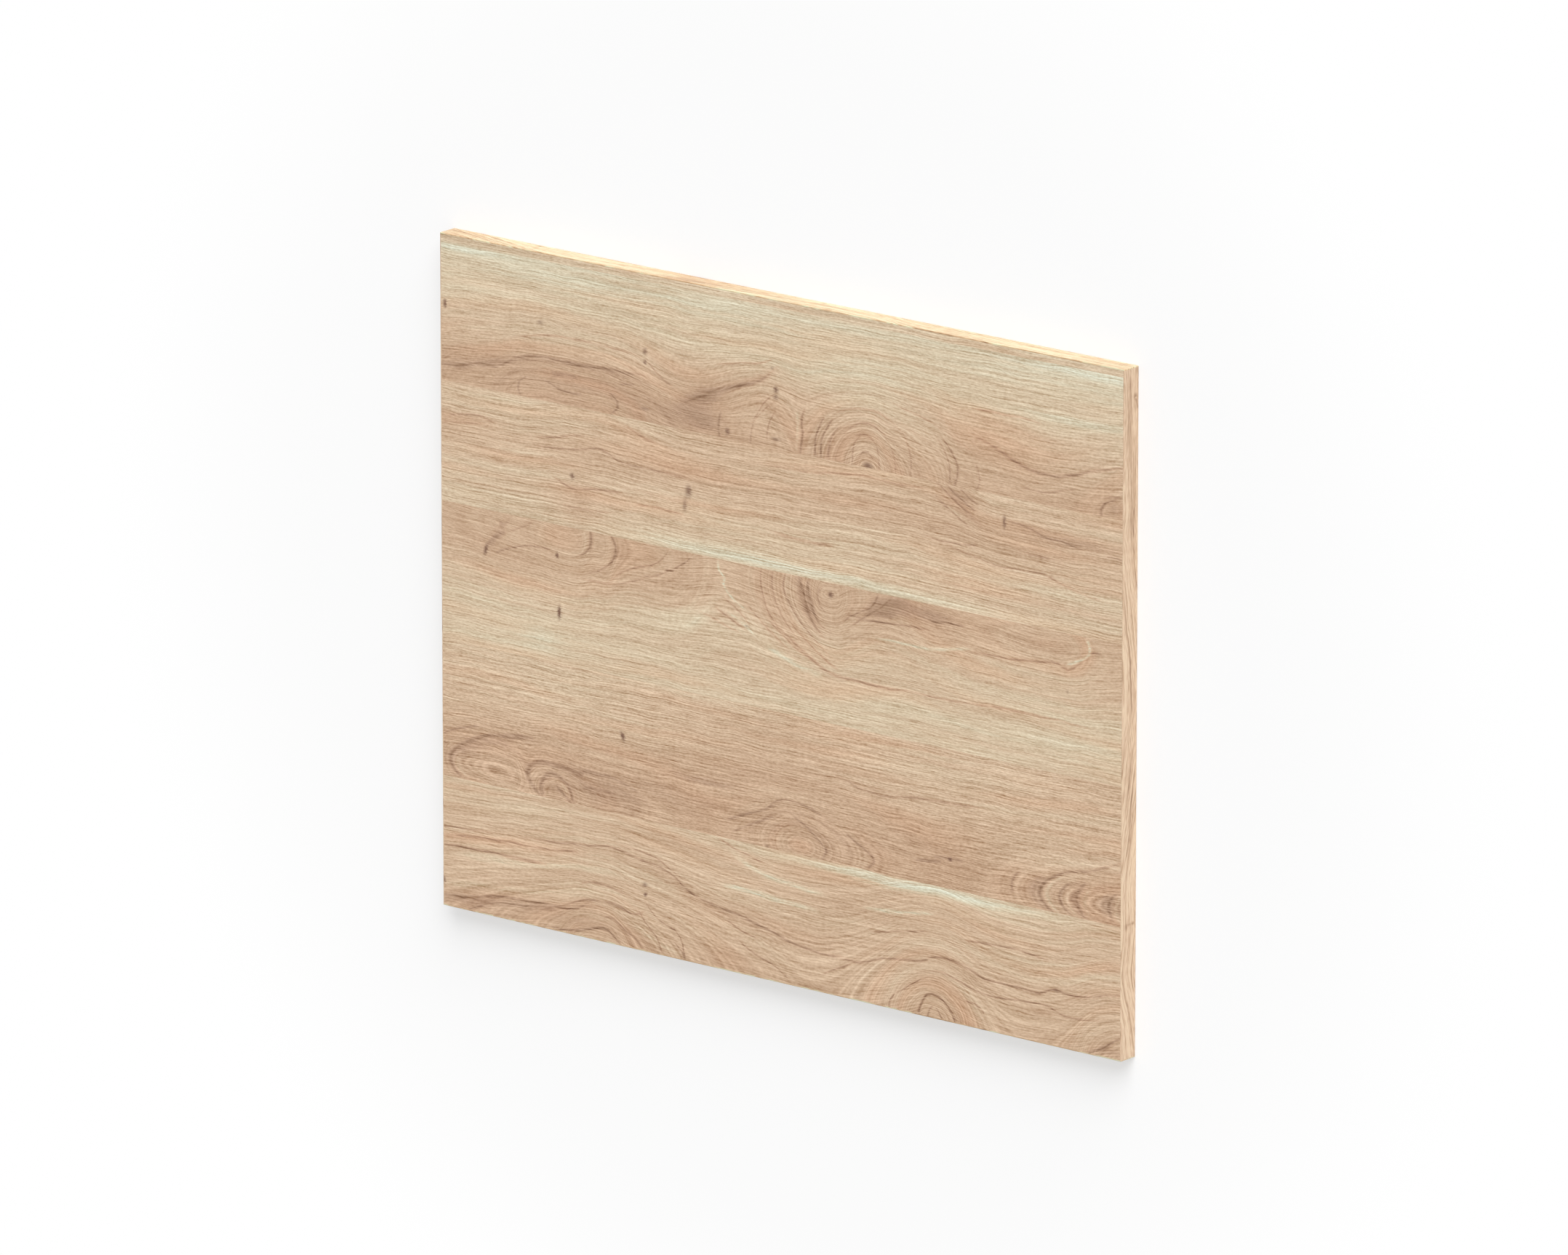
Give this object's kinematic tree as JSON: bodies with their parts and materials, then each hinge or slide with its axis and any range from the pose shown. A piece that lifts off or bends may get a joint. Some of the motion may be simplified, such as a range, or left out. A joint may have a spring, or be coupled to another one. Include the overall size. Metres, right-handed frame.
{
  "type": "bath end panel",
  "caption": "Flat rectangular oak-decor board with edging strips on its edges, which closes the end of a bath between the floor and the rim.",
  "frame": {"origin": "middle of the back face, which lies on the floor", "axes": "+X along the panel's width, +Y towards the edge that goes under the bath rim, +Z out of the decor face"},
  "size_m": [0.7, 0.56, 0.018],
  "materials": {
    "oak_decor_face": "melamine oak decor, matt with a fine grain emboss",
    "oak_decor_edging": "oak decor edging, satin, grain along the strip"
  },
  "bodies": {
    "root": {"faced_board": "oak_decor_face", "edge_strip_top": "oak_decor_edging", "edge_strip_bottom": "oak_decor_edging", "edge_strip_left": "oak_decor_edging", "edge_strip_right": "oak_decor_edging"}
  },
  "joints": []
}
